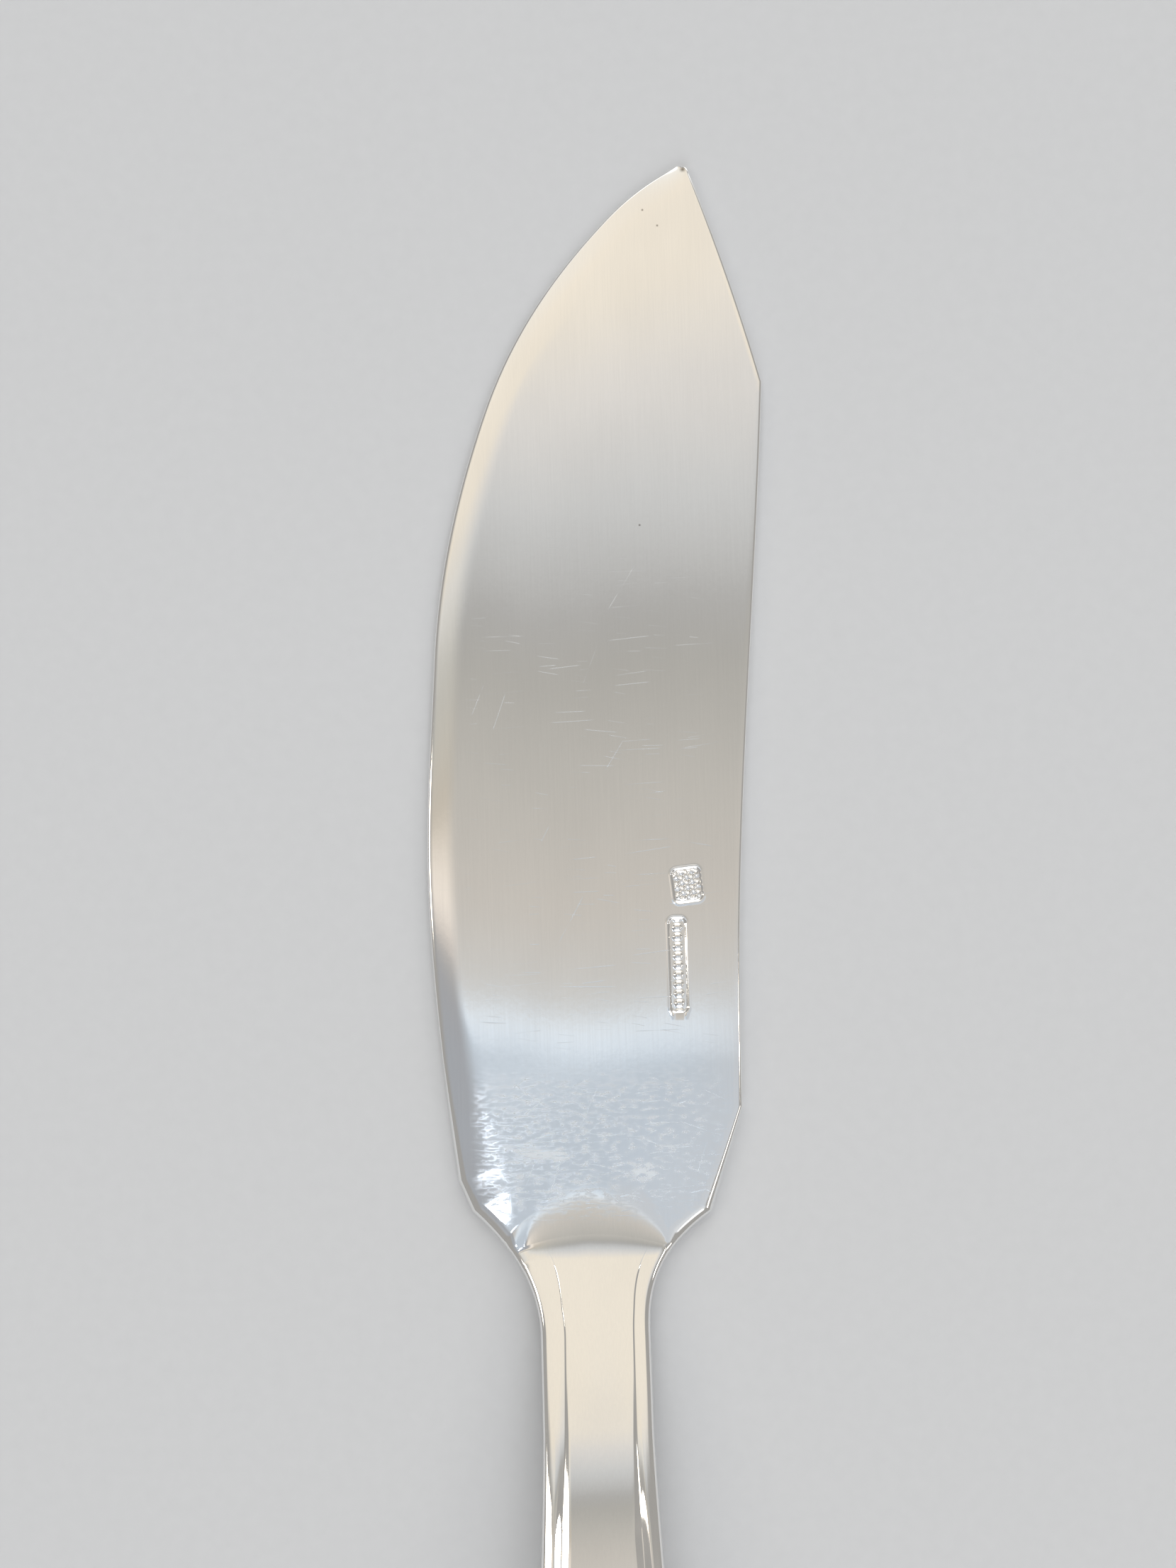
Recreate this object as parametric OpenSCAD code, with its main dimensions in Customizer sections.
// Fish knife: a flat blade with two shoulders, whose tang is brazed into an arched, threaded handle.
// Millimetres. +Y points to the tip, +X to the spine and +Z up from the table.
// Heights along the knife start at the crest of the neck, where y is 0.

/* [Blade outline] */
// Length of the blade from the crest of the neck to the tip
blade_len = 85.2; // [76:0.1:96]
// Reach of the belly from the handle's centre line
belly_reach = 12.35; // [11.6:0.05:15]
// Place of the widest point of the belly, before the crest
belly_y = 29; // [24:0.5:36]
// Reach of the tip from the handle's centre line
tip_reach = 9.55; // [7:0.05:11]
// Radius of the blunt tip on the spine side
tip_r = 0.35; // [0.2:0.05:0.8]
// Width of the blunt tip
tip_w = 0.5; // [0.3:0.05:0.9]
// Length of the clipped edge from the tip to the corner of the spine
clip_len = 17.5; // [14:0.1:22]
// How far the clipped edge bows out
clip_bow = 0.24; // [0:0.02:0.5]
// Reach of the corner of the spine from the handle's centre line
spine_reach = 15.65; // [14:0.05:18]
// How far the spine bows in
spine_bow = 0.65; // [0:0.05:1]

/* [Heel outline] */
// Reach of the heel's corner on the spine side
heel_reach = 12.35; // [11.2:0.05:14]
// Place of the heel's corner on the spine side, before the crest
heel_y = 9.8; // [8:0.1:12]
// Reach of the heel's corner on the belly side
belly_end_reach = 10.6; // [10:0.05:11.5]
// Place of the heel's corner on the belly side, before the crest
belly_end_y = 4.4; // [3:0.1:6]
// Reach of the two shoulders
shoulder_reach = 9.6; // [8.6:0.05:9.9]
// Place of the shoulder on the belly side, before the crest
shoulder_y = 1.9; // [1.4:0.05:2.4]
// Place of the shoulder on the spine side, before the crest
spine_shoulder_y = 1.4; // [1:0.05:2.2]

/* [Side view] */
// Thickness of the blade at its heel
heel_t = 1.7; // [1.5:0.05:2.1]
// Thickness of the blade at its tip
tip_t = 0.8; // [0.7:0.05:1.2]
// Width of the belly's taper
taper_w = 2.2; // [1.6:0.1:3]
// Place where the heel starts to sweep up, before the crest
rise_y = 5.6; // [5:0.1:8]
// Rise of the top at the crest
crest_rise = 0.2; // [0.15:0.01:0.3]
// Place where the neck's straight stretch starts, behind the crest
stem_y = 2.6; // [2:0.1:4]
// Place where the neck's straight stretch ends, behind the crest
stem_end_y = 13.5; // [12:0.5:16]
// Rise of the handle's arch over the blade's face
arch_rise = 7.3; // [6.8:0.1:8.4]
// Place of the top of the arch, behind the crest
arch_y = 58; // [52:1:66]
// Thickness of the neck where its straight stretch ends
neck_t = 2.9; // [2.6:0.05:3.2]
// Thickness of the handle at its butt
butt_t = 2.2; // [1.8:0.05:2.8]

/* [Neck] */
// How far the crest bows towards the tip
crest_bow = 2; // [1.4:0.1:2.6]
// Centre of the upsweep's foot, before the crest
foot_y = 3.3; // [2.6:0.1:4]
// How far the upsweep's foot bows towards the tip
foot_bow = 4; // [3.4:0.1:4.6]
// Width of the neck at its waist
waist_w = 8.7; // [7.6:0.1:9.6]
// Place of the waist, behind the crest
waist_y = 15; // [12:0.5:18]
// Place where the shoulders run into the neck, behind the crest
sweep_y = 8; // [7:0.1:10]

/* [Handle] */
// Length of the handle from the crest to the butt
handle_len = 118; // [100:1:130]
// Greatest width of the handle, at the butt
butt_w = 19.6; // [17:0.1:22]
// Length of the rounded end
butt_round = 12; // [11:0.1:16]
// Inset of the thread's groove from the handle's outline
thread_in = 1.8; // [1.5:0.05:2.2]
// Width of the thread's groove
thread_w = 0.8; // [0.5:0.05:1]
// Depth of the thread's groove
thread_depth = 0.22; // [0.1:0.01:0.3]
// Length over which the thread grows to its full width
thread_run = 20; // [12:1:30]

/* [Edges] */
// Rounding along the top of the blade's edge
edge_r = 0.25; // [0.15:0.01:0.3]
// Rounding along the underside of the blade's edge
under_r = 0.1; // [0.05:0.01:0.12]
// Chamfer along the top of the shoulders
shoulder_r = 0.7; // [0.5:0.05:0.9]
// Rounding along the handle's edges
handle_r = 0.5; // [0.3:0.05:0.7]

/* [Tang joint] */
// Length of the tang behind the joint
tang_len = 14; // [10:0.5:20]
// Width of the tang
tang_w = 4.6; // [3.6:0.1:5.4]
// Thickness of the tang
tang_t = 0.9; // [0.7:0.05:1]
// Length of the tang's root inside the heel
tang_root = 2; // [1.5:0.1:2.5]
// Clearance round the tang, filled by the braze
braze_gap = 0.12; // [0.08:0.01:0.2]
// Half the width of the handle's rounded front end, where it leaves the outline
joint_reach = 5.9; // [5.6:0.05:6.4]

/* [Punched recesses] */
// Width and length of the square recess
square_w = 2.3; // [1.8:0.1:3]
square_len = 2.7; // [2.2:0.1:3.4]
// Width and length of the long recess
long_w = 1.4; // [1:0.05:1.8]
long_len = 7.6; // [6:0.1:9]
// Depth of both recesses
punch_depth = 0.12; // [0.08:0.01:0.2]
// Corner radius of both recesses
punch_r = 0.45; // [0.2:0.05:0.48]
// Centre of the square recess, from the centre line and before the crest
square_x = 8.4; // [7.6:0.1:9]
square_y = 27.6; // [26:0.1:30]
// Centre of the long recess, from the centre line and before the crest
long_x = 7.5; // [6.6:0.1:8.4]
long_y = 21.2; // [20.5:0.1:21.4]

/* [Hidden] */
silver = [0.80, 0.79, 0.77];
braze_colour = [0.86, 0.76, 0.52];

// One overrun serves all cuts
overrun = 3;

// The middle of the finished knife
mid_x = (spine_reach - belly_reach) / 2;
mid_y = (blade_len - handle_len) / 2;

// The belly from its widest point to the tip: share of the run, share of the way out, and slope
belly_shares = [
    [1.00, 0.00, -5.34], [0.907, 0.322, -2.51], [0.658, 0.741, -0.98],
    [0.302, 0.954, -0.18], [0.00, 1.00, 0.00]
];
// Slope of the belly where it ends at the heel
belly_end_slope = -0.11;
// The spine bows in most at a third of its run from the heel, where this makes the bow whole
third_share = 6.75;
// Powers of the curves that sweep the shoulders into the neck
belly_sweep = 2.1;
spine_sweep = 2.7;
// Powers of the curve that flares the handle from its waist to its butt
flare_start = 1.3;
flare_end = 5;

// Slopes of the side view, as rise over run towards the butt
crest_slope = 0.1;
neck_slope = 0.222;
stem_slope = 0.15;
butt_slope = 0.17;
// Place of the last knot before the arch, as a share of the way to it
stem_share = 0.2;
// Part of the blade's thickness by which its spine gains and its belly loses
lean_share = 0.25;
// Part of the blade's thickness by which the belly's taper drops
taper_drop_share = 0.2;

// Stations where the knife's outline and side view change, from the tip to the butt
foot_q = foot_y - foot_bow;
crest_q = -crest_bow;
behind_q = (crest_q - sweep_y) / 2;
butt_q = butt_round - handle_len;

function lerp(a, b, t) = a + (b - a) * t;
function clamp(t) = max(0, min(1, t));
function ease(t) = let (c = clamp(t)) c * c * (3 - 2 * c);
function steps(a, b, n) = [for (i = [0 : n - 1]) lerp(a, b, i / n)];

// A smooth line through knots of [place, value, slope], with the places falling
function span_at(knots, y, i = 0) =
    i >= len(knots) - 2 || y >= knots[i + 1][0] ? i : span_at(knots, y, i + 1);
function follow(knots, y) =
    let (i = span_at(knots, y), a = knots[i], b = knots[i + 1], run = b[0] - a[0])
    let (t = (y - a[0]) / run, t2 = t * t, t3 = t2 * t)
    a[1] * (2 * t3 - 3 * t2 + 1) + a[2] * run * (t3 - 2 * t2 + t)
    + b[1] * (3 * t2 - 2 * t3) + b[2] * run * (t3 - t2);

// How far a rounding of radius r drops or draws in at a distance d from its edge
function rounding(r, d) = d >= r ? 0 : r - sqrt(r * r - (r - d) * (r - d));

// The outline on the belly side and on the spine side
tip_left = tip_w / 2 - tip_reach;
function belly_x(y) =
    let (share = (y - belly_y) / (blade_len - belly_y))
    y >= belly_y
        ? lerp(tip_left, belly_reach, follow(belly_shares, share))
        : follow([[belly_y, belly_reach, 0], [belly_end_y, belly_end_reach, -belly_end_slope]], y);
function spine_x(y) =
    let (corner_y = blade_len - clip_len)
    let (t = (y - heel_y) / (corner_y - heel_y), c = (y - corner_y) / clip_len)
    y >= corner_y
        ? lerp(spine_reach, tip_reach + tip_w / 2 + tip_r, c) + clip_bow * 4 * c * (1 - c)
            - rounding(tip_r, blade_len - y)
        : lerp(heel_reach, spine_reach, t) - spine_bow * third_share * t * (1 - t) * (1 - t);
function handle_half(y) =
    let (t = clamp((-waist_y - y) / (-waist_y - butt_q)))
    let (flare = (flare_end * pow(t, flare_start) - flare_start * pow(t, flare_end))
        / (flare_end - flare_start))
    lerp(waist_w, butt_w, flare) / 2;
function half(y, side) =
    let (spine_side = side > 0)
    let (low = spine_side ? spine_shoulder_y : shoulder_y)
    let (high = spine_side ? heel_y : belly_end_y, far = spine_side ? heel_reach : belly_end_reach)
    let (sweep = pow(clamp((y + sweep_y) / (low + sweep_y)), spine_side ? spine_sweep : belly_sweep))
    y <= -sweep_y ? handle_half(y)
    : y <= low ? lerp(waist_w / 2, shoulder_reach, sweep)
    : y < high ? lerp(shoulder_reach, far, (y - low) / (high - low))
    : spine_side ? spine_x(y) : belly_x(y);

// Side view along the centre line: rise of the top over the blade's face, and the underside
neck_rise = crest_rise + stem_y * (crest_slope + neck_slope) / 2;
stem_rise = neck_rise + (stem_end_y - stem_y) * neck_slope;
last_y = lerp(stem_end_y, arch_y, stem_share);
last_rise = stem_rise + (last_y - stem_end_y) * (neck_slope + stem_slope) / 2;
rise_knots = [
    [rise_y, 0, 0], [0, crest_rise, -crest_slope], [-stem_y, neck_rise, -neck_slope],
    [-stem_end_y, stem_rise, -neck_slope], [-last_y, last_rise, -stem_slope],
    [-arch_y, arch_rise, 0], [handle_r - handle_len, butt_t - heel_t, butt_slope]
];
under_knots = [[0, 0, 0], [-stem_end_y, heel_t + stem_rise - neck_t, -neck_slope]];
function rise(y) = y >= rise_y ? 0 : follow(rise_knots, y);
function thick(y) =
    lerp(butt_t, neck_t, pow(clamp((y + handle_len) / (handle_len - stem_end_y)), 2));
function under(y) =
    y >= 0 ? 0
    : y > -stem_end_y ? follow(under_knots, y)
    : heel_t + rise(y) - thick(y);
function middle_z(y) = (heel_t + rise(y) + under(y)) / 2;

// How far a station bows towards the tip at its middle
shoulder_bow_share = 0.8;
bow_stops = [
    [-sweep_y, 0], [crest_q, crest_bow], [foot_q, foot_bow], [shoulder_y, foot_bow * shoulder_bow_share],
    [heel_y, 0]
];
rim_stops = [[-sweep_y, handle_r], [shoulder_y, shoulder_r], [heel_y, edge_r]];
under_stops = [[-sweep_y, handle_r], [heel_y, under_r]];

// The finished skin is 17 columns wide: seven inwards from each side and three in the middle
edge_cols = 7;
last_col = 2 * edge_cols + 2;
groove_col = 5;

// Insets of the seven columns: four over the rim, three over the thread or the belly's taper
rim_shares = [0, 0.15, 0.5, 1];
rim_limit_share = 0.12;
taper_share = 0.16;
groove_share = 0.2;
inner_share = 0.34;
groove_start_share = 0.2;
function wide(q) = half(q, -1) + half(q, 1);
function groove_growth(q) = clamp((crest_q - q) / thread_run);
function rim(q, stops) = min(lookup(q, stops), wide(q) * rim_limit_share);
function insets(q) =
    let (w = wide(q), on_blade = ease((q - crest_q) / (heel_y - crest_q)))
    let (grow = thread_w / 2 * lerp(groove_start_share, 1, groove_growth(q)))
    concat(rim_shares * rim(q, rim_stops), [
        lerp(thread_in - grow, min(taper_w, w * taper_share), on_blade),
        lerp(thread_in, w * groove_share, on_blade),
        lerp(thread_in + grow, w * inner_share, on_blade)
    ]);

// A point of the plan, at an inset from one side of station q, which turns round the butt
function side_point(q, side, inset) =
    let (a = 90 * (butt_q - q) / butt_round)
    q >= butt_q
        ? [side * (half(q, side) - inset), q]
        : [side * (butt_w / 2 - inset) * cos(a), butt_q - (butt_round - inset) * sin(a)];
function middle(q, left, right) =
    let (m = (left + right) / 2)
    q >= butt_q ? m : [m[0], (butt_q + m[1]) / 2];
function plan_row(q) =
    let (d = insets(q))
    let (left = [for (inset = d) side_point(q, -1, inset)])
    let (right = [for (inset = d) side_point(q, 1, inset)])
    let (m = middle(q, left[edge_cols - 1], right[edge_cols - 1]))
    concat(
        left,
        [(left[edge_cols - 1] + m) / 2, m, (m + right[edge_cols - 1]) / 2],
        [for (i = [edge_cols - 1 : -1 : 0]) right[i]]
    );

// Thickness of the blade at a share of its width, which the heel evens out
function blade_at(y, share) =
    lerp(heel_t, tip_t, clamp(y / blade_len)) * (1 + lean_share * (2 * share - 1) * ease(y / heel_y));

// One row of the skin, along its top or along its underside
function skin_row(q, top) =
    let (plan = plan_row(q), d = insets(q), bow = lookup(q, bow_stops))
    let (x0 = plan[0][0], x1 = plan[last_col][0])
    let (r = rim(q, top ? rim_stops : under_stops))
    [for (k = [0 : last_col])
        let (share = (plan[k][0] - x0) / (x1 - x0))
        let (y = q >= butt_q ? q + bow : plan[k][1])
        let (inset = d[min(k, last_col - k, edge_cols - 1)])
        let (groove = k == groove_col || k == last_col - groove_col
            ? thread_depth * sqrt(groove_growth(q)) : 0)
        let (flat = blade_at(y, share))
        let (taper = k < edge_cols
            ? flat * taper_drop_share * clamp(1 - inset / taper_w) * ease(y / heel_y) : 0)
        let (cut = rounding(r, inset) + groove)
        [plan[k][0], plan[k][1] + bow * (1 - pow(2 * share - 1, 2)),
            top ? rise(y) + flat - taper - cut : under(y) + cut]
    ];

// A closed skin through stations, with a flat end and either a flat or a turned one
function reversed(list) = [for (i = [len(list) - 1 : -1 : 0]) list[i]];
function quad(a, b, c, d) = [[a, b, c], [a, c, d]];
module skin(stations, turned) {
    ring = 2 * (last_col + 1);
    base = (len(stations) - 1) * ring;
    points = [for (q = stations) each concat(skin_row(q, true), reversed(skin_row(q, false)))];
    walls = [for (i = [0 : len(stations) - 2], j = [0 : ring - 1])
        let (a = i * ring + j, b = i * ring + (j + 1) % ring)
        each quad(a, b, b + ring, a + ring)];
    front = [for (k = [0 : last_col - 1]) each quad(k + 1, k, ring - 1 - k, ring - 2 - k)];
    back = [for (k = [0 : last_col - 1])
        each quad(base + k, base + k + 1, base + ring - 2 - k, base + ring - 1 - k)];
    half_cols = last_col / 2 - 1;
    zip = [for (k = [0 : half_cols - 1], side = [0, last_col + 1])
        let (a = base + side + k, b = base + side + last_col - k)
        each quad(a, a + 1, b - 1, b)];
    zip_ends = [for (side = [0, last_col + 1])
        let (a = base + side + half_cols) [a, a + 1, a + 2]];
    zip_wall = quad(base + last_col, base + last_col + 1, base + ring - 1, base);
    polyhedron(points, concat(walls, front, turned ? concat(zip, zip_ends, zip_wall) : back));
}

// Stations from the tip to the crest, closer at the tip, and from the heel to the butt
tip_rows = 9;
corner_y = blade_len - clip_len;
neck_rows = concat(
    [shoulder_y], steps(spine_shoulder_y, foot_q, 3), steps(foot_q, crest_q, 3)
);
blade_rows = concat(
    [for (i = [0 : tip_rows - 1]) blade_len - clip_len * pow(i / tip_rows, 2)],
    steps(corner_y, belly_y, 8), steps(belly_y, heel_y, 6), steps(heel_y, belly_end_y, 4),
    steps(belly_end_y, shoulder_y, 3), neck_rows, [crest_q, behind_q]
);
turn_rows = 9;
handle_rows = concat(
    neck_rows, steps(crest_q, -sweep_y, 6), steps(-sweep_y, -waist_y, 4),
    steps(-waist_y, butt_q, 14),
    [for (i = [0 : turn_rows - 1]) butt_q - butt_round * i / (turn_rows - 0.5)]
);

// All that lies behind the arched joint between the blade and the handle
joint_r = (joint_reach * joint_reach + crest_bow * crest_bow) / (2 * crest_bow);
module behind_joint() {
    tall = heel_t + arch_rise + 2 * overrun;
    translate([0, -joint_r, -overrun])
        cylinder(h = tall, r = joint_r, $fn = 96);
    translate([-butt_w / 2 - overrun, -handle_len - overrun, -overrun])
        cube([butt_w + 2 * overrun, handle_len + overrun - joint_r, tall]);
}

// The tang, or with a gap the slot that takes it, along the middle of the neck
module tang_bar(gap) {
    translate([0, 0, middle_z(0)])
        rotate([-atan((middle_z(-tang_len) - middle_z(0)) / tang_len), 0, 0])
            translate([-tang_w / 2 - gap, -tang_len - gap, -tang_t / 2 - gap])
                cube([tang_w + 2 * gap, tang_len + tang_root + gap, tang_t + 2 * gap]);
}

// A shallow recess with round corners, punched into the blade's face
module recess(x, y, w, len) {
    share = (x + half(y, -1)) / wide(y);
    translate([x, y, blade_at(y, share) - punch_depth])
        linear_extrude(height = punch_depth + overrun) {
            square([w - 2 * punch_r, len], center = true);
            square([w, len - 2 * punch_r], center = true);
            for (sx = [-1, 1], sy = [-1, 1])
                translate([sx * (w / 2 - punch_r), sy * (len / 2 - punch_r)])
                    circle(r = punch_r, $fn = 24);
        }
}

module centred() {
    translate([-mid_x, -mid_y, 0]) children();
}

module blade() {
    color(silver)
        centred() {
            difference() {
                skin(blade_rows, false);
                behind_joint();
                recess(square_x, square_y, square_w, square_len);
                recess(long_x, long_y, long_w, long_len);
            }
            tang_bar(0);
        }
}

module handle() {
    color(silver)
        centred()
            difference() {
                intersection() {
                    skin(handle_rows, true);
                    behind_joint();
                }
                tang_bar(braze_gap);
            }
}

module braze_seam() {
    color(braze_colour)
        centred()
            difference() {
                intersection() {
                    tang_bar(braze_gap);
                    behind_joint();
                }
                tang_bar(0);
            }
}

blade();
handle();
braze_seam();
